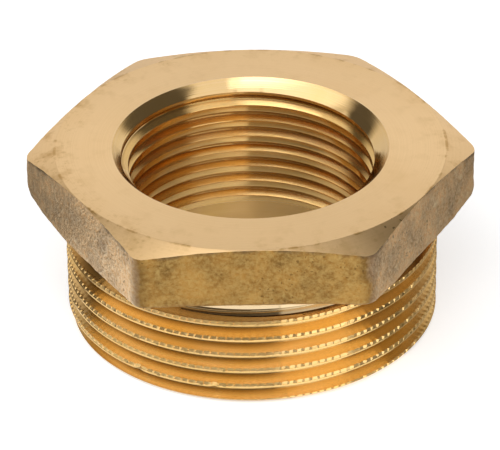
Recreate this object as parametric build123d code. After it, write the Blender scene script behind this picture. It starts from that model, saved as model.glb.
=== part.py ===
"""Reducing hex bushing: a G 1 1/2 male thread outside and a G 1 female thread inside.

Brass, hot forged as a hexagon-headed blank, then turned and threaded in one piece.
Millimetres. The origin is on the axis in the thread's end face, and +Z points to the hexagon.
Both threads are held by their plain cylinders: the male one at its crests, the female one at
its bored crests, with the chamfers and neck that the threading tools need.
"""

import os
from math import cos, pi, radians, tan

from build123d import *

# Parallel pipe thread to ISO 228, both threads at 11 turns to the inch.
inch = 25.4
turns_per_inch = 11
pitch = inch / turns_per_inch
thread_depth = 0.640327 * pitch
flank_angle = 27.5                    # between a flank and the plane across the axis

male_major_diameter = 47.803          # G 1 1/2
female_major_diameter = 33.249        # G 1

# Hexagon head.
across_flats = 50.0
head_thickness = 8.4
head_corner_radius = 2.0              # upright corners, as forged
head_lower_edge_radius = 0.6          # forged edge under the head
face_chamfer_angle = 18.0             # turned cone that cuts the corners of the top face
face_margin = 0.05                    # the turned circle falls just short of the flats

# Sealing collar under the head.
collar_overhang = 0.6                 # radial, beyond the crests of the male thread
collar_height = 0.5
collar_edge_radius = 0.25

# Undercut neck, where the threading tool runs out.
neck_width = 2.0
neck_clearance = 0.07                 # radial, below the roots of the thread
neck_corner_radius = 0.35

# Male thread.
male_thread_length = 12.51
end_chamfer_angle = 45.0
end_chamfer_depth = 0.75              # radial

# Bore. The crests of the female thread are bored out, so they are flat and shallow.
female_crest_depth = 1.02             # radial, from the thread's roots to its bored crests
mouth_overhang = 0.98                 # radial, beyond the roots of the female thread
mouth_half_angle = 45.0
lower_edge_chamfer = 0.5
cutter_overrun = 1.0                  # how far each cutter starts outside the metal

# Worked out from the sizes above.
male_major_radius = male_major_diameter / 2
male_root_radius = male_major_radius - thread_depth
neck_radius = male_root_radius - neck_clearance
collar_radius = male_major_radius + collar_overhang
collar_z = male_thread_length + neck_width
head_z = collar_z + collar_height
top_z = head_z + head_thickness
face_radius = across_flats / 2 - face_margin
bore_radius = female_major_diameter / 2 - female_crest_depth
mouth_radius = female_major_diameter / 2 + mouth_overhang


def revolved(outline):
    """A closed outline of (radius, height) points, turned once round the axis."""
    face = make_face(Polyline(*outline, close=True))
    return revolve(Plane.XZ * face, axis=Axis.Z)


def hexagon_head():
    """The forged hexagon, with rounded corners and its upper corners turned to a cone."""
    flats = RegularPolygon(radius=across_flats / 2, side_count=6, major_radius=False)
    head = extrude(flats, amount=head_thickness)
    head = fillet(head.edges().filter_by(Axis.Z), radius=head_corner_radius)
    head = fillet(head.faces().sort_by(Axis.Z)[0].edges(), radius=head_lower_edge_radius)

    reach = across_flats / 2 / cos(pi / 6) + cutter_overrun
    drop = (reach - face_radius) * tan(radians(face_chamfer_angle))
    turned_blank = revolved([
        (0, -cutter_overrun),
        (reach, -cutter_overrun),
        (reach, head_thickness - drop),
        (face_radius, head_thickness),
        (0, head_thickness),
    ])
    return Pos(0, 0, head_z) * (head & turned_blank)


def threaded_shank():
    """Collar, undercut neck and male thread, as one turned profile that ends inside the head."""
    runout = (male_major_radius - neck_radius) * tan(radians(flank_angle))
    chamfer_height = end_chamfer_depth / tan(radians(end_chamfer_angle))
    buried_z = head_z + head_thickness / 2
    shank = revolved([
        (0, 0),
        (male_major_radius - end_chamfer_depth, 0),
        (male_major_radius, chamfer_height),
        (male_major_radius, male_thread_length - runout),
        (neck_radius, male_thread_length),
        (neck_radius, collar_z),
        (collar_radius, collar_z),
        (collar_radius, buried_z),
        (0, buried_z),
    ])
    ring_edges = shank.edges().filter_by(GeomType.CIRCLE)
    collar_edges = ring_edges.filter_by_position(Axis.Z, collar_z - 0.01, collar_z + 0.01)
    neck_corner, collar_rim = collar_edges.sort_by(SortBy.RADIUS)
    shank = fillet(neck_corner, radius=neck_corner_radius)
    rim = shank.edges().filter_by(GeomType.CIRCLE).filter_by_position(
        Axis.Z, collar_z - 0.01, collar_z + 0.01
    ).sort_by(SortBy.RADIUS)[-1]
    return fillet(rim, radius=collar_edge_radius)


def bore_cutter():
    """The space inside: the mouth's cone, the bore at the female crests, and a broken lower edge."""
    mouth_depth = (mouth_radius - bore_radius) / tan(radians(mouth_half_angle))
    mouth_flare = cutter_overrun * tan(radians(mouth_half_angle))
    above = top_z + cutter_overrun
    return revolved([
        (0, -cutter_overrun),
        (bore_radius + lower_edge_chamfer + cutter_overrun, -cutter_overrun),
        (bore_radius, lower_edge_chamfer),
        (bore_radius, top_z - mouth_depth),
        (mouth_radius + mouth_flare, above),
        (0, above),
    ])


def hex_bushing():
    """Head and shank joined, then bored through from end to end."""
    return hexagon_head() + threaded_shank() - bore_cutter()


os.makedirs("parts", exist_ok=True)
bushing = hex_bushing()
bushing.label = "hex_bushing"
export_step(bushing, "parts/hex_bushing.step")

print(f"overall height {top_z:.2f} mm, bore radius {bore_radius:.3f} mm, mouth radius {mouth_radius:.3f} mm")
print(f"thinnest wall, root to bore {male_root_radius - bore_radius:.2f} mm")
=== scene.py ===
import bpy
from math import pi, sin, cos, tan, atan2, radians, degrees, hypot, exp, sqrt
from mathutils import Matrix, Vector, noise


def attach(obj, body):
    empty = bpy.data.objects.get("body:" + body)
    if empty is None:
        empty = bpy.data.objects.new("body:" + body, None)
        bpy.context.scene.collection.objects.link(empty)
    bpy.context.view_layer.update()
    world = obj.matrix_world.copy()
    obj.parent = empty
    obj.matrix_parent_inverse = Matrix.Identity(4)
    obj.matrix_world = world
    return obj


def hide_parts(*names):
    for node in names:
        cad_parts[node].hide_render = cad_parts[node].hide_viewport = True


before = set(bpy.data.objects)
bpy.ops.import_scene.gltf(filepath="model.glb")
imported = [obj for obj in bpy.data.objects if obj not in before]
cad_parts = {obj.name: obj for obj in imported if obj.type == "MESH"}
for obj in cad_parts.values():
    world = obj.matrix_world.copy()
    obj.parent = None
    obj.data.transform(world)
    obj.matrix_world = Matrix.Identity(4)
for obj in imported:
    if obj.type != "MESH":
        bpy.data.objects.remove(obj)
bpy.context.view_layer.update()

mm = 0.001
pitch = 25.4 / 11                     # both threads, eleven turns to the inch
threadDepth = 0.6403 * pitch
flankSlope = tan(radians(27.5))
rootRound = 0.1373 * pitch            # radius at the bottom of the groove
rootTurn = radians(62.5)              # how far that round bottom turns to meet each flank
rootPoints = 6                        # points drawn round it
weldGap = 2e-6                        # in metres: points nearer than this become one
cutGap = 1e-6                         # in metres: points this near a cut lie on it
hair, slack = 0.001, 0.01             # in millimetres: how near counts as level or touching


# Small helpers for work in edit mode. Lengths in the dictionaries are in millimetres.

def deselectAll():
    if bpy.context.mode != "OBJECT":
        bpy.ops.object.mode_set(mode="OBJECT")
    bpy.ops.object.select_all(action="DESELECT")


def pick(ob):
    deselectAll()
    ob.select_set(True)
    bpy.context.view_layer.objects.active = ob


def editAll(ob):
    pick(ob)
    bpy.ops.object.mode_set(mode="EDIT")
    bpy.ops.mesh.select_all(action="SELECT")


def selectWhere(ob, kind, rule):
    pick(ob)
    bpy.ops.object.mode_set(mode="EDIT")
    bpy.ops.mesh.select_mode(type=kind)
    bpy.ops.mesh.select_all(action="DESELECT")
    bpy.ops.object.mode_set(mode="OBJECT")
    mesh = ob.data
    places = [v.co / mm for v in mesh.vertices]
    parts = {"VERT": mesh.vertices, "EDGE": mesh.edges}[kind]
    for part in parts:
        ends = [places[part.index]] if kind == "VERT" else [places[i] for i in part.vertices]
        part.select = bool(rule(ends))
    bpy.ops.object.mode_set(mode="EDIT")


def fillOpenEnds():
    bpy.ops.mesh.select_all(action="SELECT")
    bpy.ops.mesh.fill_holes(sides=0)


def faceOutwards():
    bpy.ops.mesh.select_all(action="SELECT")
    bpy.ops.mesh.normals_make_consistent(inside=False)
    bpy.ops.object.mode_set(mode="OBJECT")


def applyModifier(ob, modifier):
    pick(ob)
    bpy.ops.object.modifier_apply(modifier=modifier.name)


def drawOutline(name, points):
    deselectAll()
    bpy.ops.mesh.primitive_plane_add(size=mm, location=(0, 0, 0))
    ob = bpy.context.object
    ob.name = name
    editAll(ob)
    bpy.ops.mesh.select_mode(type="VERT")
    bpy.ops.mesh.merge(type="CENTER")
    x, z = points[0]
    bpy.ops.transform.translate(value=(x * mm, 0, z * mm))
    for nextX, nextZ in points[1:]:       # one point after the other, drawn by extruding the last
        bpy.ops.mesh.extrude_region_move(
            TRANSFORM_OT_translate={"value": ((nextX - x) * mm, 0, (nextZ - z) * mm)})
        x, z = nextX, nextZ
    bpy.ops.object.mode_set(mode="OBJECT")
    return ob


def sweepRound(ob, steps, rise=0.0):
    screw = ob.modifiers.new("Screw", "SCREW")
    screw.angle = 2 * pi
    screw.screw_offset = rise * mm
    screw.steps = screw.render_steps = steps
    screw.use_merge_vertices = False
    applyModifier(ob, screw)
    editAll(ob)
    bpy.ops.mesh.remove_doubles(threshold=weldGap)
    faceOutwards()
    return ob


def windThread(name, tooth, bottom, thread):
    # one tooth, repeated up the axis by the array, then wound once round
    firstX, firstZ = tooth[0]
    ob = drawOutline(name, [(x, z + bottom) for x, z in tooth] + [(firstX, firstZ + bottom + pitch)])
    copies = ob.modifiers.new("Turns", "ARRAY")
    copies.count = thread["turns"]
    copies.use_relative_offset = False
    copies.use_constant_offset = True
    copies.constant_offset_displace = (0, 0, pitch * mm)
    copies.use_merge_vertices = True
    copies.merge_threshold = weldGap
    applyModifier(ob, copies)
    return sweepRound(ob, thread["steps"], pitch)


def trimEnds(ob, low, high):
    editAll(ob)
    for height, clear in ((low, "clear_inner"), (high, "clear_outer")):
        bpy.ops.mesh.select_all(action="SELECT")
        bpy.ops.mesh.bisect(plane_co=(0, 0, height * mm), plane_no=(0, 0, 1), threshold=cutGap,
                            **{clear: True})


def combine(ob, other, how):
    boolean = ob.modifiers.new("Boolean", "BOOLEAN")
    boolean.operation = how
    boolean.solver = "EXACT"
    boolean.object = other
    applyModifier(ob, boolean)
    bpy.data.objects.remove(other, do_unlink=True)
    editAll(ob)
    bpy.ops.mesh.dissolve_degenerate(threshold=weldGap)
    bpy.ops.object.mode_set(mode="OBJECT")


def polar(vertex):
    x, y, z = vertex.co / mm
    return hypot(x, y), atan2(y, x), z


def placePolar(vertex, radius, angle, z):
    vertex.co = (radius * cos(angle) * mm, radius * sin(angle) * mm, z * mm)


def smoothStep(value, low, high):
    t = min(1.0, max(0.0, (value - low) / (high - low)))
    return t * t * (3 - 2 * t)


def ripple(*place):
    return noise.noise(Vector(place))     # between -1 and 1, always the same


def metres(lengths):
    return [length * mm for length in lengths]


# The forged hexagon: bevelled corners, a rounded lower edge and an uneven skin,
# turned off above to a flat face with coned corners.

hexHead = {
    "acrossFlats": 50.0, "bottom": 15.01, "top": 23.41,
    "cornerRound": 2.0, "cornerSegments": 5, "lowerRound": 0.8, "lowerSegments": 4,
    # how round the lower edge is at each direction, since the forging die wore unevenly
    "lowerRounds": ((-180, 3.4), (-172, 1.8), (-160, 0.6), (-150, 0.3), (-123, 0.5), (-110, 1.0),
                    (-72, 1.0), (-60, 0.6), (-48, 0.35), (-12, 0.6), (0, 1.8), (12, 0.6), (90, 0.6),
                    (172, 1.8), (180, 3.4)),
    "faceRadius": 24.93, "coneAngle": 18.0, "faceEdge": 0.05, "faceEdgeDrop": 1.4,
    "spareAbove": 0.5,                  # left on the blank, then turned off
    "cutterBelow": 0.6, "cutterBeyond": 5.0, "cutterSteps": 360,
    "rows": 26, "columns": 84,
    "swell": 0.16, "swellSize": 4.5, "grain": 0.10, "grainSize": 0.8, "skinLevel": 0.55,
}


def hexReach(head, angle):
    # from the axis to the hexagon's outline, with its corners rounded
    flat = head["acrossFlats"] / 2
    turn = abs((angle + pi / 6) % (pi / 3) - pi / 6)        # from the nearest corner
    centre = (flat - head["cornerRound"]) / cos(pi / 6)
    cornerEnd = head["cornerRound"] / 2 * 1.02              # a little past where the flat begins
    if centre * sin(turn) < cornerEnd * cos(turn):
        return centre * cos(turn) + sqrt(max(0, head["cornerRound"] ** 2 - (centre * sin(turn)) ** 2))
    return flat / cos(pi / 6 - turn)


def betweenMarks(marks, value):
    for (low, first), (high, last) in zip(marks, marks[1:]):
        if low <= value <= high:
            return first + (last - first) * (value - low) / (high - low)
    return marks[-1][1]


def wearLowerEdge(ob, head):
    bottom, blankTop = head["bottom"], head["top"] + head["spareAbove"]
    start = bottom + head["lowerRound"]
    for vertex in ob.data.vertices:
        radius, angle, z = polar(vertex)
        grown = betweenMarks(head["lowerRounds"], degrees(angle)) / head["lowerRound"]
        newStart = bottom + head["lowerRound"] * grown
        if z < start + hair:
            reach = hexReach(head, angle)
            radius = reach - (reach - radius) * grown
            z = bottom + (z - bottom) * grown
        else:                                       # the rows above close up to make room
            z = newStart + (z - start) * (blankTop - newStart) / (blankTop - start)
        placePolar(vertex, radius, angle, z)


def buildHead(head):
    bottom, top = head["bottom"], head["top"]
    height = top + head["spareAbove"] - bottom
    deselectAll()
    bpy.ops.mesh.primitive_cylinder_add(
        vertices=6, radius=head["acrossFlats"] / 2 / cos(pi / 6) * mm, depth=height * mm,
        location=(0, 0, (bottom + height / 2) * mm), rotation=(0, 0, pi / 6))
    ob = bpy.context.object
    ob.name = "headBlank"
    bpy.ops.object.transform_apply(location=True, rotation=True, scale=True)
    selectWhere(ob, "EDGE", lambda e: abs(e[0].z - e[1].z) > height / 2)        # upright edges
    bpy.ops.mesh.bevel(offset=head["cornerRound"] * tan(pi / 6) * mm, offset_type="OFFSET",
                       segments=head["cornerSegments"], affect="EDGES")
    selectWhere(ob, "EDGE", lambda e: max(e[0].z, e[1].z) < bottom + slack)
    bpy.ops.mesh.bevel(offset=head["lowerRound"] * mm, offset_type="OFFSET",
                       segments=head["lowerSegments"], affect="EDGES")
    selectWhere(ob, "EDGE", lambda e: abs(e[0].z - e[1].z) > height / 2)
    bpy.ops.mesh.subdivide(number_cuts=head["rows"])
    selectWhere(ob, "EDGE", lambda e: abs(e[0].z - e[1].z) < slack       # level edges along the flats
                and (e[0] - e[1]).length > head["acrossFlats"] / 3)
    bpy.ops.mesh.subdivide(number_cuts=head["columns"])
    bpy.ops.object.mode_set(mode="OBJECT")
    wearLowerEdge(ob, head)
    for size, strength in ((head["swellSize"], head["swell"]), (head["grainSize"], head["grain"])):
        clouds = bpy.data.textures.new("forgedSkin", "CLOUDS")
        clouds.noise_scale = size * mm
        clouds.noise_depth = 1
        skin = ob.modifiers.new("Skin", "DISPLACE")
        skin.texture = clouds
        skin.texture_coords = "LOCAL"
        skin.mid_level = head["skinLevel"]
        skin.strength = strength * mm
        applyModifier(ob, skin)
    coneSlope = tan(radians(head["coneAngle"]))
    beyond = head["faceRadius"] + head["cutterBeyond"]
    edge = head["faceEdge"]
    turned = sweepRound(drawOutline("turnedBlank", [
        (0, bottom - head["cutterBelow"]), (beyond, bottom - head["cutterBelow"]),
        (beyond, top - head["cutterBeyond"] * coneSlope),
        (head["faceRadius"] + edge, top - head["faceEdgeDrop"] * edge * coneSlope),
        (head["faceRadius"] - edge, top), (0, top)]), head["cutterSteps"])
    combine(ob, turned, "INTERSECT")
    print("hexagon head turned,", len(ob.data.polygons), "faces")
    return ob


# The male thread: one tooth drawn and copied up the shank, wound round, then cut to length
# inside a turned outline. The crest carries a narrow rib below and rolled notches above it.

maleThread = {
    "crestRadius": 23.9015, "crestWidth": 0.3855, "startHeight": 12.237, "turns": 9, "steps": 612,
    "rib": ((0.035, -0.018), (0.0, 0.03), (0.025, 0.19)),       # each below the crest, and how high
    # the rolled notches: a groove above the rib, then sloping pads with small teeth between them
    "grooveHeight": 0.215, "grooveDepth": 0.07, "padTop": 0.55, "padDepth": 0.21, "ledge": 0.25,
    "rolledHeights": (0.2, 0.56), "toothDepth": 0.02,
    "notchColumns": (0.0, 0.10, 0.48, 0.76),                    # each column's place in its notch
    "wander": 0.10, "slant": 0.10, "uneven": 0.03,
    # direction, height, width and depth of each dent, how many widths it fades over, how far in it is felt
    "dents": ((-127.7, 2.45, 0.55, 0.30), (-102.5, 2.45, 0.5, 0.28), (-74.5, 1.4, 0.45, 0.25)),
    "dentFade": 3, "dentReach": 0.9,
    "endRadius": 23.15, "endChamfer": 0.75, "endEdge": ((-0.04, 0.0), (0.03, 0.03)),
    "cutterBelow": 0.4, "cutterBeyond": 0.3, "overlap": 0.5,
    "shoulder": 12.48, "neckRadius": 22.35, "neckFlare": ((0.42, 0.0), (0.03, 0.68), (0.0, 0.8)),
    "collarRadius": 24.5015, "collarBottom": 14.5, "collarEdge": 0.2, "collarBevel": 0.3,
    "collarInside": 1.0, "collarBelow": 0.6, "collarAbove": 0.4, "collarSteps": 360,
}


def rootArc(outward, flankStart, flankDepth, width):
    # the round bottom of a groove, tangent to both flanks: (radius, z) from the lower to the upper flank
    middle = (width + pitch) / 2
    centre = flankStart - outward * (flankDepth - rootRound)
    return [(centre - outward * rootRound * cos(a), middle + rootRound * sin(a))
            for a in (rootTurn * (2 * k / (rootPoints - 1) - 1) for k in range(rootPoints))]


def rollNotches(thread, radius, angle, z, rise):
    # moves a point of the rolled strip to its place in its notch; each ripple reads its own noise
    steps, columns = thread["steps"], len(thread["notchColumns"])
    column = round(angle / (2 * pi) * steps)
    place = column % columns
    first = column - place
    wander = thread["wander"] * ripple(first * 0.37, z * 0.8, 3.1)
    slant = thread["slant"] * (rise - thread["grooveHeight"]) / (thread["padTop"] - thread["grooveHeight"])
    if place == 0:
        radius = thread["crestRadius"] - thread["toothDepth"] - thread["uneven"] * abs(
            ripple(first * 0.71, z, 8.2))
    else:
        radius += thread["uneven"] * ripple(first * 0.53, z, 1.7)
    turn = (first + columns * (thread["notchColumns"][place] + slant + wander)) / steps
    return radius, turn * 2 * pi


def buildShank(thread, headBottom):
    crest, crestWidth = thread["crestRadius"], thread["crestWidth"]
    ledge = thread["padDepth"] + thread["ledge"]    # where the pads end on the flank
    tooth = [(crest - drop, height) for drop, height in thread["rib"]] + [
        (crest - thread["grooveDepth"], thread["grooveHeight"]),
        (crest - thread["padDepth"], thread["padTop"]),
        (crest - ledge, crestWidth + ledge * flankSlope)] + rootArc(1, crest, threadDepth, crestWidth)
    bottom = thread["startHeight"] - (thread["turns"] - 2) * pitch
    ob = windThread("shank", tooth, bottom, thread)
    lowRise, highRise = thread["rolledHeights"]
    for vertex in ob.data.vertices:
        radius, angle, z = polar(vertex)
        rise = (z - thread["startHeight"] - pitch * (angle / (2 * pi))) % pitch
        if lowRise < rise < highRise and radius > crest - thread["padDepth"] - slack:
            radius, angle = rollNotches(thread, radius, angle, z, rise)
        for dentAngle, dentHeight, width, dentDepth in thread["dents"]:
            fade = thread["dentFade"] * width
            if abs(z - dentHeight) < fade and radius > crest - thread["dentReach"]:
                along = (angle - radians(dentAngle)) * crest
                if abs(along) < fade:
                    radius -= dentDepth * exp(-(along ** 2 + (z - dentHeight) ** 2) / width ** 2)
        placePolar(vertex, radius, angle, z)
    overlap = thread["overlap"]
    trimEnds(ob, -thread["cutterBelow"], headBottom - overlap)
    fillOpenEnds()
    faceOutwards()
    endRadius, shoulder, neck = thread["endRadius"], thread["shoulder"], thread["neckRadius"]
    beyond = crest + thread["cutterBeyond"]
    outline = sweepRound(drawOutline("shankOutline", [
        (0, 0), *[(endRadius + out, up) for out, up in thread["endEdge"]],
        (beyond, (beyond - endRadius) * thread["endChamfer"] / (crest - endRadius)),
        (beyond, shoulder), *[(neck + out, shoulder + up) for out, up in thread["neckFlare"]],
        (neck, headBottom + overlap), (0, headBottom + overlap)]), thread["steps"])
    combine(ob, outline, "INTERSECT")
    collar, low, edge = thread["collarRadius"], thread["collarBottom"], thread["collarEdge"]
    inside, bevel = neck - thread["collarInside"], thread["collarBevel"] * edge
    high = headBottom + thread["collarAbove"]
    ring = sweepRound(drawOutline("collar", [
        (0, low - thread["collarBelow"]), (inside, low - thread["collarBelow"]), (inside, low),
        (collar - edge, low), (collar - bevel, low + bevel), (collar, low + edge),
        (collar, high), (0, high)]), thread["collarSteps"])
    combine(ob, ring, "UNION")
    print("threaded shank cut,", len(ob.data.polygons), "faces")
    return ob


# The bore: a plug with the female thread in its side, its last groove running out,
# carried on down as a plain bore, and a cone for the mouth.

femaleThread = {
    "crestRadius": 15.6045, "rootRadius": 16.6245, "crestWidth": 0.862, "wallSlack": 0.02,
    "crestEdge": ((0.05, -0.026), (0.008, 0.04), (0.0, 0.10)),  # each beyond the crest, and how far in
    "startHeight": 19.681, "turns": 11, "steps": 306, "topTurn": 2,
    "runOutFrom": 100.0, "runOutTo": -60.0, "lastGroove": 7.13, "plainFrom": 5.1,
    "lipFrom": 16.16, "lipGrowth": 0.24, "lipTurn": 22.479,
    "lowerChamfer": 0.5, "cutterBelow": 0.5, "cutterAbove": 1.0,
    "mouthRadius": 17.6, "mouthDepth": 2.4, "mouthSteps": 360,
    "mouthRim": ((-0.03, -0.03), (0.05, 0.02), (0.5, 0.5)),     # each beyond the rim, and above it
}


def degreesAlong(angle, z, backHeight):
    # how far along its helix a point is, in degrees, from the turn that is at backHeight at the back
    turns = round((z - backHeight - pitch * (angle / (2 * pi) - 0.25)) / pitch)
    return degrees(angle) + 360 * turns


def buildPlug(thread, top):
    crest, root, width = thread["crestRadius"], thread["rootRadius"], thread["crestWidth"]
    tooth = [(crest + out, up - width) for out, up in thread["crestEdge"]]
    tooth += [(crest + out, -up) for out, up in reversed(thread["crestEdge"])]
    tooth += rootArc(-1, crest, root - crest, -width)
    bottom = thread["startHeight"] + thread["topTurn"] * pitch - (thread["turns"] - 1) * pitch
    ob = windThread("borePlug", tooth, bottom, thread)
    for vertex in ob.data.vertices:
        radius, angle, z = polar(vertex)
        # the last groove gets shallower along its turn
        along = degreesAlong(angle, z, thread["lastGroove"])
        deep = smoothStep(along, thread["runOutTo"], thread["runOutFrom"])
        if radius > crest + thread["wallSlack"]:
            radius = crest + (radius - crest) * deep
        # the mouth takes the top off the first turn, more and more towards its start
        along = degreesAlong(angle, z + width / 2, thread["lipTurn"])
        lip = thread["lipFrom"] + thread["lipGrowth"] * radians(along - 90)
        radius = max(radius, min(lip, root))
        placePolar(vertex, radius, angle, z)
    trimEnds(ob, thread["plainFrom"], top + thread["cutterAbove"])
    faceOutwards()
    # the open lower rim goes on down as the plain bore and ends in a small chamfer
    selectWhere(ob, "VERT", lambda v: v[0].z < thread["plainFrom"] + hair)
    chamfer = thread["lowerChamfer"]
    below = chamfer + thread["cutterBelow"]
    grow = (crest + below) / crest
    bpy.ops.mesh.select_mode(type="EDGE")
    bpy.ops.mesh.extrude_region_move(
        TRANSFORM_OT_translate={"value": (0, 0, (chamfer - thread["plainFrom"]) * mm)})
    bpy.ops.mesh.extrude_region_move(TRANSFORM_OT_translate={"value": (0, 0, -below * mm)})
    bpy.ops.transform.resize(value=(grow, grow, 1), center_override=(0, 0, 0))
    fillOpenEnds()
    faceOutwards()
    mouth, depth = thread["mouthRadius"], thread["mouthDepth"]
    cone = sweepRound(drawOutline("mouthCone", [
        (0, top - depth), (mouth - depth, top - depth),
        *[(mouth + out, top + up) for out, up in thread["mouthRim"]],
        (0, top + thread["mouthRim"][-1][1])]), thread["mouthSteps"])
    print("bore plug wound,", len(ob.data.polygons), "faces")
    return ob, cone


bushing = buildHead(hexHead)
shank = buildShank(maleThread, hexHead["bottom"])
combine(bushing, shank, "UNION")
plug, cone = buildPlug(femaleThread, hexHead["top"])
combine(bushing, plug, "DIFFERENCE")
combine(bushing, cone, "DIFFERENCE")
bushing.name = bushing.data.name = "turnedBushing"
print("bushing joined,", len(bushing.data.polygons), "faces")
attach(bushing, "root")
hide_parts("hex_bushing")


# Shader helpers and the groups that several finishes share.

def addNode(tree, kind, inputs=None, **settings):
    made = tree.nodes.new(kind)
    for name, value in settings.items():
        setattr(made, name, value)
    for name, value in (inputs or {}).items():
        if isinstance(value, bpy.types.NodeSocket):
            tree.links.new(value, made.inputs[name])
        else:
            made.inputs[name].default_value = value
    return made


def newGroup(name, inputs, outputs):
    tree = bpy.data.node_groups.new(name, "ShaderNodeTree")
    for socketName, kind, value in inputs:
        socket = tree.interface.new_socket(name=socketName, in_out="INPUT", socket_type=kind)
        socket.default_value = value
    for socketName, kind in outputs:
        tree.interface.new_socket(name=socketName, in_out="OUTPUT", socket_type=kind)
    return tree, tree.nodes.new("NodeGroupInput"), tree.nodes.new("NodeGroupOutput")


def reckon(tree, operation, first, second=0.0, third=0.0):
    return addNode(tree, "ShaderNodeMath", {0: first, 1: second, 2: third}, operation=operation).outputs[0]


def plus(tree, first, second):
    return reckon(tree, "ADD", first, second)


def minus(tree, first, second):
    return reckon(tree, "SUBTRACT", first, second)


def times(tree, result, *factors):
    for factor in factors:
        result = reckon(tree, "MULTIPLY", result, factor)
    return result


def larger(tree, first, second):
    return reckon(tree, "MAXIMUM", first, second)


def spread(tree, value, fromLow, fromHigh, toLow=0.0, toHigh=1.0):
    made = addNode(tree, "ShaderNodeMapRange", {
        "Value": value, "From Min": fromLow, "From Max": fromHigh, "To Min": toLow, "To Max": toHigh})
    return made.outputs[0]


def within(tree, value, low, high, edge):
    return times(tree, spread(tree, value, low - edge, low + edge),
                 spread(tree, value, high + edge, high - edge))


def mixColour(tree, factor, first, second, blend="MIX"):
    made = addNode(tree, "ShaderNodeMix", {0: factor, 6: first, 7: second},
                   data_type="RGBA", blend_type=blend)
    return made.outputs[2]


def objectPlace(tree):
    return addNode(tree, "ShaderNodeTexCoord").outputs["Object"]


def splitPlace(tree, place):
    return addNode(tree, "ShaderNodeSeparateXYZ", {0: place}).outputs


def distanceToAxis(tree, x, y):
    return reckon(tree, "SQRT", plus(tree, reckon(tree, "POWER", x, 2.0), reckon(tree, "POWER", y, 2.0)))


# toolLines: fine grooves left by the lathe, read from the distance to the axis and the height
latheMarks = {"driftScale": 120.0, "bandsPerMm": 0.6}


def makeToolLines():
    tree, given, result = newGroup("toolLines", [
        ("Across", "NodeSocketFloat", 1.0), ("Along", "NodeSocketFloat", 0.0),
        ("Lines", "NodeSocketFloat", 4.0), ("Wander", "NodeSocketFloat", 0.1)],
        [("Lines", "NodeSocketFloat"), ("Bands", "NodeSocketFloat")])
    place = objectPlace(tree)
    x, y, z = splitPlace(tree, place)
    drift = addNode(tree, "ShaderNodeTexNoise", {
        "Vector": place, "Scale": latheMarks["driftScale"], "Detail": 1.0})
    way = plus(tree, times(tree, distanceToAxis(tree, x, y), given.outputs["Across"]),
               times(tree, z, given.outputs["Along"]))
    way = times(tree, way, 1 / mm)
    way = plus(tree, way, times(tree, drift.outputs[0], given.outputs["Wander"]))
    lines = addNode(tree, "ShaderNodeTexNoise", {
        "W": times(tree, way, given.outputs["Lines"]), "Scale": 1.0, "Detail": 2.0},
        noise_dimensions="1D")
    bands = addNode(tree, "ShaderNodeTexNoise", {
        "W": times(tree, way, latheMarks["bandsPerMm"]), "Scale": 1.0, "Detail": 1.0}, noise_dimensions="1D")
    tree.links.new(lines.outputs[0], result.inputs["Lines"])
    tree.links.new(bands.outputs[0], result.inputs["Bands"])
    return tree


# specks: small dark pits, bent out of round, only where a coarse noise lets them through
speckShape = {"bendScale": 1500.0, "bend": 0.6, "patchScale": 90.0, "threshold": 0.8, "amountReach": 0.4}


def makeSpecks():
    tree, given, result = newGroup("specks", [
        ("Scale", "NodeSocketFloat", 600.0), ("Size", "NodeSocketFloat", 0.25),
        ("Amount", "NodeSocketFloat", 0.5)], [("Mask", "NodeSocketFloat")])
    place = objectPlace(tree)
    warp = addNode(tree, "ShaderNodeTexNoise", {
        "Vector": place, "Scale": speckShape["bendScale"], "Detail": 1.0})
    shift = addNode(tree, "ShaderNodeVectorMath", {
        0: warp.outputs["Color"], "Scale": speckShape["bend"] * mm}, operation="SCALE")
    bent = addNode(tree, "ShaderNodeVectorMath", {0: place, 1: shift.outputs[0]}, operation="ADD")
    cells = addNode(tree, "ShaderNodeTexVoronoi", {
        "Vector": bent.outputs[0], "Scale": given.outputs["Scale"]})
    where = addNode(tree, "ShaderNodeTexNoise", {
        "Vector": place, "Scale": speckShape["patchScale"], "Detail": 2.0})
    spot = reckon(tree, "LESS_THAN", cells.outputs["Distance"], given.outputs["Size"])
    lowered = times(tree, given.outputs["Amount"], speckShape["amountReach"])
    chosen = reckon(tree, "GREATER_THAN", where.outputs[0], minus(tree, speckShape["threshold"], lowered))
    tree.links.new(times(tree, spot, chosen), result.inputs["Mask"])
    return tree


# tarnish: cloudy patches of one size
def makeTarnish():
    tree, given, result = newGroup("tarnish", [
        ("Scale", "NodeSocketFloat", 100.0), ("Low", "NodeSocketFloat", 0.4),
        ("High", "NodeSocketFloat", 0.6), ("Shift", "NodeSocketFloat", 0.0)],
        [("Mask", "NodeSocketFloat")])
    clouds = addNode(tree, "ShaderNodeTexNoise", {
        "Vector": objectPlace(tree), "W": given.outputs["Shift"], "Scale": given.outputs["Scale"],
        "Detail": 4.0, "Roughness": 0.6}, noise_dimensions="4D")
    mask = spread(tree, clouds.outputs[0], given.outputs["Low"], given.outputs["High"])
    tree.links.new(mask, result.inputs["Mask"])
    return tree


toolLines, specks, tarnish = makeToolLines(), makeSpecks(), makeTarnish()


def placeGroup(tree, group, values):
    made = tree.nodes.new("ShaderNodeGroup")
    made.node_tree = group
    for name, value in values.items():
        made.inputs[name].default_value = value
    return made.outputs


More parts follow.
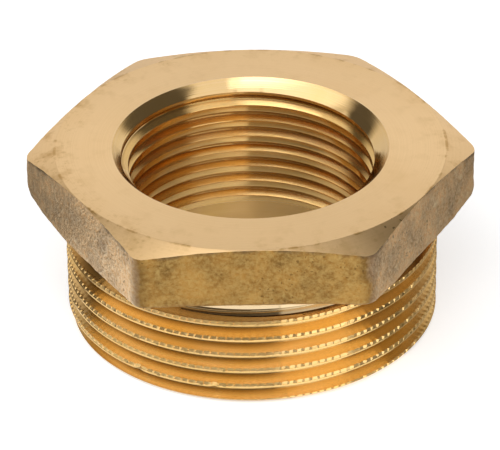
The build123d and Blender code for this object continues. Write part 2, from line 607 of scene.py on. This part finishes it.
def newFinish(name, roughness, anisotropy=0.0):
    material = bpy.data.materials.new(name)
    material.use_nodes = True
    tree = material.node_tree
    shader = tree.nodes["Principled BSDF"]
    shader.inputs["Metallic"].default_value = 1.0
    shader.inputs["Roughness"].default_value = roughness
    shader.inputs["Anisotropic"].default_value = anisotropy
    shader.inputs["Anisotropic Rotation"].default_value = 0.25      # rougher across the tool marks
    if anisotropy:
        tangent = addNode(tree, "ShaderNodeTangent", direction_type="RADIAL", axis="Z")
        tree.links.new(tangent.outputs[0], shader.inputs["Tangent"])
    return material, tree, shader


def addBump(tree, shader, height, strength, depth):
    bump = addNode(tree, "ShaderNodeBump", {"Strength": strength, "Distance": depth * mm, "Height": height})
    tree.links.new(bump.outputs[0], shader.inputs["Normal"])


# The turned face and the coned corners: clean metal with rings from the lathe,
# stained and pitted near the rim.

turnedFace = {
    "clean": (0.90, 0.62, 0.315, 1), "warm": (0.84, 0.55, 0.25, 1), "stain": (0.56, 0.33, 0.11, 1),
    "pit": (0.26, 0.14, 0.05, 1), "roughness": 0.34, "anisotropy": 0.35,
    "rings": {"Across": 1.0, "Along": 0.0, "Lines": 7.0, "Wander": 0.05},
    "ringRange": (0.35, 0.65), "ringStain": 0.10, "bump": 0.05, "bumpDepth": 0.02,
    "clouds": {"Scale": 70.0, "Low": 0.42, "High": 0.66}, "cloudWarmth": 0.45,
    "wisps": {"Scale": 420.0, "Low": 0.50, "High": 0.72, "Shift": 2.0}, "wispStain": 0.14,
    # stains gather near the rim and beyond it, most of all on the left
    "rimFrom": 21.5, "rimTo": 25.0, "rimWisps": (0.0, 0.8, 0.22, 1.0), "rimStain": 0.8,
    "leftFrom": -12.0, "leftTo": -22.0, "elsewhere": 0.35,
    "freckles": {"Scale": 1300.0, "Size": 0.30, "Amount": 0.9},
    "edgeLine": 0.18, "edgeLineWisps": (0.05, 0.5, 0.0, 0.9),       # half its width, and where it breaks
    "pits": {"Scale": 1100.0, "Size": 0.20, "Amount": 0.30}, "pitsFrom": 20.5, "pitStain": 0.8,
}
conedCorners = dict(turnedFace, anisotropy=0.8)


def makeTurnedFace(name, look):
    material, tree, shader = newFinish(name, look["roughness"], look["anisotropy"])
    rings = placeGroup(tree, toolLines, look["rings"])["Lines"]
    clouds = placeGroup(tree, tarnish, look["clouds"])[0]
    wisps = placeGroup(tree, tarnish, look["wisps"])[0]
    pits = placeGroup(tree, specks, look["pits"])[0]
    freckles = placeGroup(tree, specks, look["freckles"])[0]
    x, y, z = splitPlace(tree, objectPlace(tree))
    reach = distanceToAxis(tree, x, y)
    left = spread(tree, x, look["leftFrom"] * mm, look["leftTo"] * mm, look["elsewhere"], 1.0)
    rim = times(tree, spread(tree, reach, look["rimFrom"] * mm, look["rimTo"] * mm),
                spread(tree, wisps, *look["rimWisps"]))
    fromEdge = reckon(tree, "ABSOLUTE", minus(tree, reach, hexHead["faceRadius"] * mm))
    edgeLine = times(tree, reckon(tree, "LESS_THAN", fromEdge, look["edgeLine"] * mm),
                     spread(tree, wisps, *look["edgeLineWisps"]))
    pitted = spread(tree, reach, look["pitsFrom"] * mm, (look["pitsFrom"] + 1) * mm, 0.0, look["pitStain"])
    colour = mixColour(tree, times(tree, clouds, look["cloudWarmth"]), look["clean"], look["warm"])
    for mask, tint in (
            (times(tree, spread(tree, rings, *look["ringRange"]), look["ringStain"]), "stain"),
            (times(tree, wisps, look["wispStain"]), "stain"),
            (times(tree, rim, left, look["rimStain"]), "stain"),
            (times(tree, freckles, rim, left), "stain"),
            (edgeLine, "stain"), (times(tree, pits, pitted), "pit")):
        colour = mixColour(tree, mask, colour, look[tint])
    tree.links.new(colour, shader.inputs["Base Color"])
    addBump(tree, shader, rings, look["bump"], look["bumpDepth"])
    return material


# The forged skin of the six flats: mottled from dark scale to bright metal. The front flat kept
# more of its golden skin, with dark corners, and a broken dark line follows the edge of the cone.

forgedSkin = {
    "dark": (0.26, 0.16, 0.085, 1), "middle": (0.93, 0.60, 0.29, 1), "light": (1.0, 0.82, 0.55, 1),
    "golden": (0.525, 0.435, 0.218, 1), "edgeDark": (0.16, 0.10, 0.05, 1),
    "clouds": {"Scale": 230.0, "Low": 0.40, "High": 0.70}, "cloudDark": 0.85,
    "grain": {"Scale": 2300.0, "Low": 0.36, "High": 0.64, "Shift": 4.0}, "grainLight": 0.55,
    "scratches": {"Scale": 800.0, "Low": 0.58, "High": 0.70, "Shift": 9.0}, "scratchLight": 0.8,
    "pits": {"Scale": 1500.0, "Size": 0.20, "Amount": 0.5}, "pitDark": 0.6,
    "roughness": 0.58, "grainRoughness": 0.38, "bump": 0.7, "bumpDepth": 0.08,
    # how far out the front flat is, and where on it the gold ends and the dark corners begin
    "frontFrom": -23.6, "frontTo": -24.6, "goldenHalf": (15.1, 14.1), "cornerHalf": (12.8, 14.8),
    "cornerDark": 0.75, "ragged": 0.8,
    # how far the dark line reaches below the cone's edge, and where it breaks
    "lineBelow": (0.55, 0.1), "lineClouds": (0.1, 0.6), "lineDark": 0.75,
}


def makeForged(name, look):
    material, tree, shader = newFinish(name, look["roughness"])
    clouds = placeGroup(tree, tarnish, look["clouds"])[0]
    grain = placeGroup(tree, tarnish, look["grain"])[0]
    scratches = placeGroup(tree, tarnish, look["scratches"])[0]
    pits = placeGroup(tree, specks, look["pits"])[0]
    x, y, z = splitPlace(tree, objectPlace(tree))
    colour = look["middle"]
    for mask, strength, tint in ((clouds, "cloudDark", "dark"), (grain, "grainLight", "light"),
                                 (scratches, "scratchLight", "light"), (pits, "pitDark", "dark")):
        colour = mixColour(tree, times(tree, mask, look[strength]), colour, look[tint])
    aside = plus(tree, reckon(tree, "ABSOLUTE", x), spread(tree, clouds, 0, 1, 0.0, look["ragged"] * mm))
    front = spread(tree, y, look["frontFrom"] * mm, look["frontTo"] * mm)
    golden = times(tree, front, spread(tree, aside, *metres(look["goldenHalf"])))
    corner = times(tree, front, spread(tree, aside, *metres(look["cornerHalf"]),
                                       0.0, look["cornerDark"]))
    colour = mixColour(tree, corner, colour, look["dark"])
    colour = mixColour(tree, golden, colour, mixColour(tree, 1.0, colour, look["golden"], "MULTIPLY"))
    beyondFace = minus(tree, distanceToAxis(tree, x, y), hexHead["faceRadius"] * mm)
    edgeHeight = minus(tree, hexHead["top"] * mm, times(tree, beyondFace, tan(radians(hexHead["coneAngle"]))))
    line = times(tree, spread(tree, minus(tree, edgeHeight, z), *metres(look["lineBelow"])),
                 spread(tree, clouds, *look["lineClouds"]), look["lineDark"])
    colour = mixColour(tree, line, colour, look["edgeDark"])
    tree.links.new(colour, shader.inputs["Base Color"])
    tree.links.new(spread(tree, grain, 0, 1, look["roughness"], look["grainRoughness"]),
                   shader.inputs["Roughness"])
    addBump(tree, shader, grain, look["bump"], look["bumpDepth"])
    return material


# Cut brass: the threads, the neck, the mouth and the plain end of the bore. Painted shade lies in the
# grooves and under the head, between two distances from the axis, with its strength on the left and on the
# right set apart as a painted reflection.

cutBrass = {
    "clean": (0.92, 0.65, 0.33, 1), "deep": (0.87, 0.56, 0.18, 1), "paintedShade": (0.34, 0.18, 0.04, 1),
    "marks": {"Across": 0.6, "Along": 0.5, "Lines": 6.0, "Wander": 0.3},
    "markRange": (0.3, 0.7), "markDeep": 0.25, "bump": 0.2, "bumpDepth": 0.03,
    "clouds": {"Scale": 140.0, "Low": 0.4, "High": 0.7}, "cloudDeep": 0.4,
    "roughness": 0.09, "smoother": 0.04, "rougher": 0.08, "anisotropy": 1.0,
    # the bottom end of the thread darkens as painted shade where it meets the floor
    "paintedShadeFromTo": None, "paintedShadeLeftRight": None, "leftRight": (-1.0, 7.0), "bottomPaintedShade": (0.6, 0.1),
}
threadBrass = dict(
    cutBrass, clean=(0.92, 0.62, 0.27, 1), deep=(0.87, 0.54, 0.13, 1),
    marks=dict(cutBrass["marks"], Along=1.0), roughness=0.21,
    paintedShadeFromTo=(23.2, 22.5), paintedShadeLeftRight=(0.75, 0.3))
boreBrass = dict(threadBrass, roughness=0.17, paintedShadeFromTo=(16.2, 16.55), paintedShadeLeftRight=(0.5, 0.95))
plainBore = dict(threadBrass, roughness=0.34, paintedShadeFromTo=None)
# the neck gets painted shade under the head, stronger on the left as a painted reflection
neckBrass = dict(
    cutBrass, clean=(0.87, 0.67, 0.40, 1), deep=(0.80, 0.58, 0.31, 1), paintedShade=(0.22, 0.14, 0.055, 1),
    roughness=0.11, paintedShadeFromTo=(23.8, 23.2), paintedShadeLeftRight=(0.85, 0.35))


def makeCutBrass(name, look):
    material, tree, shader = newFinish(name, look["roughness"], look["anisotropy"])
    marks = placeGroup(tree, toolLines, look["marks"])
    clouds = placeGroup(tree, tarnish, look["clouds"])[0]
    colour = mixColour(tree, times(tree, clouds, look["cloudDeep"]), look["clean"], look["deep"])
    colour = mixColour(tree, spread(tree, marks["Lines"], *look["markRange"], 0.0, look["markDeep"]),
                       colour, look["deep"])
    # painted shade: darker towards the groove roots and the bottom end, set apart on the left and right as a
    # painted reflection
    if look["paintedShadeFromTo"]:
        x, y, z = splitPlace(tree, objectPlace(tree))
        deep = larger(tree, spread(tree, distanceToAxis(tree, x, y), *metres(look["paintedShadeFromTo"])),
                      spread(tree, z, *metres(look["bottomPaintedShade"])))
        side = spread(tree, x, *metres(look["leftRight"]), *look["paintedShadeLeftRight"])
        colour = mixColour(tree, times(tree, deep, side), colour, look["paintedShade"])
    tree.links.new(colour, shader.inputs["Base Color"])
    roughness = look["roughness"]
    tree.links.new(spread(tree, marks["Bands"], *look["markRange"],
                          roughness - look["smoother"], roughness + look["rougher"]),
                   shader.inputs["Roughness"])
    addBump(tree, shader, marks["Lines"], look["bump"], look["bumpDepth"])
    return material


finishes = [
    makeForged("forgedSkin", forgedSkin), makeTurnedFace("turnedFace", turnedFace),
    makeCutBrass("threadBrass", threadBrass), makeCutBrass("boreBrass", boreBrass),
    makeCutBrass("plainBore", plainBore), makeTurnedFace("conedCorners", conedCorners),
    makeCutBrass("mouthBrass", cutBrass), makeCutBrass("neckBrass", neckBrass),
]

# where one finish ends and the next begins: heights, distances from the axis, and slopes (level is 1)
borders = {
    "faceInside": 15.0, "level": 0.9, "cornersFrom": 20.0, "headBelow": 0.1, "headBeyond": 0.02,
    "mouthInside": 18.0, "mouthFrom": 21.11, "mouthSlope": 0.4, "boreInside": 17.0, "plainBelow": 5.6,
    "neckBelow": 0.05, "faceBelow": 0.02,
    "sharpFrom": 26,                    # edges that turn by more degrees stay sharp
}


def finishOf(face):
    x, y, z = face.center / mm
    reach, slope = hypot(x, y), face.normal.z
    level = slope > borders["level"]
    if level and reach > borders["faceInside"] and z > hexHead["top"] - borders["faceBelow"]:
        return "turnedFace"
    if (z > hexHead["bottom"] - borders["headBelow"]
            and reach > maleThread["collarRadius"] + borders["headBeyond"]):
        return "conedCorners" if level and z > borders["cornersFrom"] else "forgedSkin"
    if (reach < borders["mouthInside"] and z > borders["mouthFrom"]
            and borders["mouthSlope"] < slope < borders["level"]):
        return "mouthBrass"
    if reach < borders["boreInside"]:
        return "boreBrass" if z > borders["plainBelow"] else "plainBore"
    return "neckBrass" if z > maleThread["shoulder"] - borders["neckBelow"] else "threadBrass"


bushing.data.materials.clear()
for finish in finishes:
    bushing.data.materials.append(finish)
finishNames = [finish.name for finish in finishes]
for face in bushing.data.polygons:
    face.material_index = finishNames.index(finishOf(face))
selectWhere(bushing, "EDGE", lambda e: min(e[0].z, e[1].z) > hexHead["top"] - 2 * hair)
bpy.ops.mesh.mark_sharp()                           # the flat face stays flat to its rim
pick(bushing)
bpy.ops.object.shade_smooth_by_angle(angle=radians(borders["sharpFrom"]))
print("finishes set")


# The studio: a pale floor and backdrop. Two lamps light the floor and the shadow. The metal doesn't
# see them: it sees the panels of the world, with dark gaps between them, and on the floor painted light and
# painted shadow that glow only for the metal.

studio = {
    "floor": 3.0, "floorColour": (0.80, 0.80, 0.80, 1), "floorGlow": 0.5, "floorRoughness": 0.8,
    "surround": 0.40,
    # panels are warm where they are dim and cool where they are bright
    "cool": (1.0, 1.0, 1.02, 1), "warm": (1.0, 0.90, 0.74, 1), "warmUpTo": 0.1, "coolFrom": 1.1,
    "gap": 0.10,
    # middle and half width in degrees round, lowest and highest elevation, edge, strength
    "panels": (
        (-152, 48.6, 39, 66, 6, 1.35), (-88.7, 15.3, 39, 66, 1.5, 1.08), (-187, 9, 28, 39, 3, 0.9),
        (-150, 22, 44, 60, 12, 1.55), (-47, 26.4, 40, 66, 4, 0.95),
        (-53.5, 19.9, -3, 48, 1.5, 1.0), (-56, 22, -7, 9, 2, 2.6), (-136, 62, 12, 24, 6, 0.40),
        (90, 48, -3, 37, 4, 0.72), (90, 22, 12, 40, 4, 1.12), (35, 24, -3, 19, 3, 0.8),
        (141, 24, 47, 70, 3, 0.9), (-124.2, 50.8, 69, 82, 2, 3.2)),
    "widestSideEdge": 10,
    # overhead: strength on the left and on the right of a line, which way the line faces, how far
    # off centre it is, half the width of its edge, and the elevations between which it comes in
    "overhead": (1.85, 0.95), "overheadTurn": 16.6, "overheadShift": 0.09, "overheadEdge": 0.02,
    "overheadFrom": (60, 63.5),
    # the floor as the metal sees it: painted light where the lamps would fall, painted shadow of the bushing
    # elsewhere
    # middle and half width in degrees round, edge, strength
    "paintedFloorLight": (
        (-128.5, 49.5, 0.5, 1.15), (-56.8, 22.2, 0.5, 1.25), (-12, 32, 10, 0.45), (100, 50, 14, 1.0),
        (47, 16, 8, 0.9)),
}

# the floor that shows through the bore, in its own strengths, is painted shadow of the bushing that only the
# metal sees:
# darkest under the bore, brighter at the back on the left and in front on the right, out to where the floor
# panels take over
paintedShadowBelow = {
    "darkest": 0.27, "back": 0.60, "front": 0.95, "backRight": 0.5, "most": 3.0,
    "backY": (4.0, 9.0), "backX": (0.0, 1.0), "frontY": (8.5, 6.5), "frontX": (0.2, 0.8),
    "outerReach": (20.0, 26.0),
}

# size in metres, radiance, degrees round, elevation
lamps = {
    "keyLight": ((0.62, 0.40), 2.6, -124, 57),
    "standingLight": ((0.42, 0.62), 1.05, -54, 30),
}
lampDistance, lampAim = 0.6, Vector((0, 0, 0.012))


def addLamp(name, size, radiance, azimuth, elevation):
    lamp = bpy.data.lights.new(name, "AREA")
    lamp.shape = "RECTANGLE"
    lamp.size, lamp.size_y = size
    lamp.energy = radiance * pi * size[0] * size[1]
    ob = bpy.data.objects.new(name, lamp)
    bpy.context.collection.objects.link(ob)
    a, e = radians(azimuth), radians(elevation)
    away = Vector((cos(a) * cos(e), sin(a) * cos(e), sin(e)))
    ob.location = lampAim + away * lampDistance
    ob.rotation_euler = away.to_track_quat("Z", "Y").to_euler()
    ob.visible_camera = False
    ob.visible_glossy = False


for name, values in lamps.items():
    addLamp(name, *values)


def degreesRound(tree, x, y):
    return times(tree, reckon(tree, "ARCTAN2", y, x), 180 / pi)


def withinRound(tree, around, middle, half, edge):
    apart = reckon(tree, "WRAP", minus(tree, around, float(middle)), -180.0, 180.0)
    return spread(tree, reckon(tree, "ABSOLUTE", apart), half + edge, half - edge)


def panelColour(tree, strength):
    return mixColour(tree, spread(tree, strength, studio["warmUpTo"], studio["coolFrom"]),
                     studio["warm"], studio["cool"])


def seenByMetal(tree, paths):
    return larger(tree, paths.outputs["Is Glossy Ray"], paths.outputs["Is Transmission Ray"])


# painted shadow under the bushing, as the metal sees the floor
def paintedShadowStrength(tree, x, y, hole):
    back = times(tree, spread(tree, y, *metres(hole["backY"]), hole["darkest"], hole["back"]),
                 spread(tree, x, *metres(hole["backX"]), 1.0, hole["backRight"]))
    front = times(tree, spread(tree, y, *metres(hole["frontY"]), 0.0, hole["front"]),
                  spread(tree, x, *metres(hole["frontX"])))
    inner = larger(tree, larger(tree, back, front), hole["darkest"])
    return larger(tree, inner, spread(tree, distanceToAxis(tree, x, y),
                                      *metres(hole["outerReach"]), 0.0, hole["most"]))


def buildFloor():
    deselectAll()
    bpy.ops.mesh.primitive_plane_add(size=studio["floor"], location=(0, 0, 0))
    floor = bpy.context.object
    floor.name = "studioFloor"
    material = bpy.data.materials.new("paleFloor")
    material.use_nodes = True
    tree = material.node_tree
    shader = tree.nodes["Principled BSDF"]
    shader.inputs["Base Color"].default_value = studio["floorColour"]
    shader.inputs["Roughness"].default_value = studio["floorRoughness"]
    shader.inputs["Specular IOR Level"].default_value = 0.0
    shader.inputs["Emission Color"].default_value = (1, 1, 1, 1)
    paths = tree.nodes.new("ShaderNodeLightPath")
    tree.links.new(times(tree, paths.outputs["Is Camera Ray"], studio["floorGlow"]),
                   shader.inputs["Emission Strength"])
    # for the metal the floor is a glow of painted light and painted shadow, darkest under the bore
    x, y, z = splitPlace(tree, objectPlace(tree))
    around = degreesRound(tree, x, y)
    seen = studio["gap"]
    for middle, half, edge, strength in studio["paintedFloorLight"]:
        seen = larger(tree, seen, times(tree, withinRound(tree, around, middle, half, edge), strength))
    seen = reckon(tree, "MINIMUM", seen, paintedShadowStrength(tree, x, y, paintedShadowBelow))
    paintedFloor = addNode(tree, "ShaderNodeEmission", {"Color": panelColour(tree, seen), "Strength": seen})
    choice = addNode(tree, "ShaderNodeMixShader", {
        0: seenByMetal(tree, paths), 1: shader.outputs[0], 2: paintedFloor.outputs[0]})
    tree.links.new(choice.outputs[0], tree.nodes["Material Output"].inputs[0])
    floor.data.materials.append(material)
    return floor


buildFloor()
print("floor laid")


def lightWorld():
    world = bpy.context.scene.world or bpy.data.worlds.new("studio")
    bpy.context.scene.world = world
    world.use_nodes = True
    tree = world.node_tree
    tree.nodes.clear()
    paths = tree.nodes.new("ShaderNodeLightPath")
    x, y, z = splitPlace(tree, addNode(tree, "ShaderNodeTexCoord").outputs["Generated"])
    around = degreesRound(tree, x, y)
    up = times(tree, reckon(tree, "ARCSINE", z), 180 / pi)
    seen = studio["gap"]
    for middle, half, low, high, edge, strength in studio["panels"]:
        mask = times(tree, withinRound(tree, around, middle, half, min(edge, studio["widestSideEdge"])),
                     within(tree, up, low, high, edge))
        seen = larger(tree, seen, times(tree, mask, strength))
    turn, shift, edge = radians(studio["overheadTurn"]), studio["overheadShift"], studio["overheadEdge"]
    side = plus(tree, times(tree, x, cos(turn)), times(tree, y, sin(turn)))
    side = spread(tree, side, shift - edge, shift + edge, *studio["overhead"])
    seen = larger(tree, seen, times(tree, spread(tree, up, *studio["overheadFrom"]), side))
    panels = addNode(tree, "ShaderNodeBackground", {"Color": panelColour(tree, seen), "Strength": seen})
    # white behind for the camera, dimmer for the light that falls on the floor
    plain = spread(tree, paths.outputs["Is Camera Ray"], 0.0, 1.0, studio["surround"], 1.0)
    white = addNode(tree, "ShaderNodeBackground", {"Color": (1, 1, 1, 1), "Strength": plain})
    choice = addNode(tree, "ShaderNodeMixShader", {
        0: seenByMetal(tree, paths), 1: white.outputs[0], 2: panels.outputs[0]})
    out = tree.nodes.new("ShaderNodeOutputWorld")
    tree.links.new(choice.outputs[0], out.inputs[0])


lightWorld()
print("world lit")

# degrees, and millimetres for the distance and the target
view = {
    "elevation": 31.973, "distance": 446.1, "target": (-0.196, -5.36, 14.82), "turn": -0.536,
    "roll": -0.725, "lens": 252.83, "sensorWidth": 36, "clipStart": 10,
}
cameraData = bpy.data.cameras.new("camera")
cameraData.lens = view["lens"]
cameraData.sensor_width = view["sensorWidth"]
cameraData.clip_start = view["clipStart"] * mm
camera = bpy.data.objects.new("camera", cameraData)
bpy.context.collection.objects.link(camera)
rise = radians(view["elevation"])
away = Vector((0, -cos(rise), sin(rise))) * view["distance"]
camera.matrix_world = (Matrix.Rotation(radians(view["turn"]), 4, "Z")
                       @ Matrix.Translation((Vector(view["target"]) + away) * mm)
                       @ Matrix.Rotation(pi / 2 - rise, 4, "X")
                       @ Matrix.Rotation(radians(view["roll"]), 4, "Z"))
bpy.context.scene.camera = camera
bpy.context.scene.view_settings.view_transform = "Standard"
bpy.context.view_layer.update()

print("scene ready")
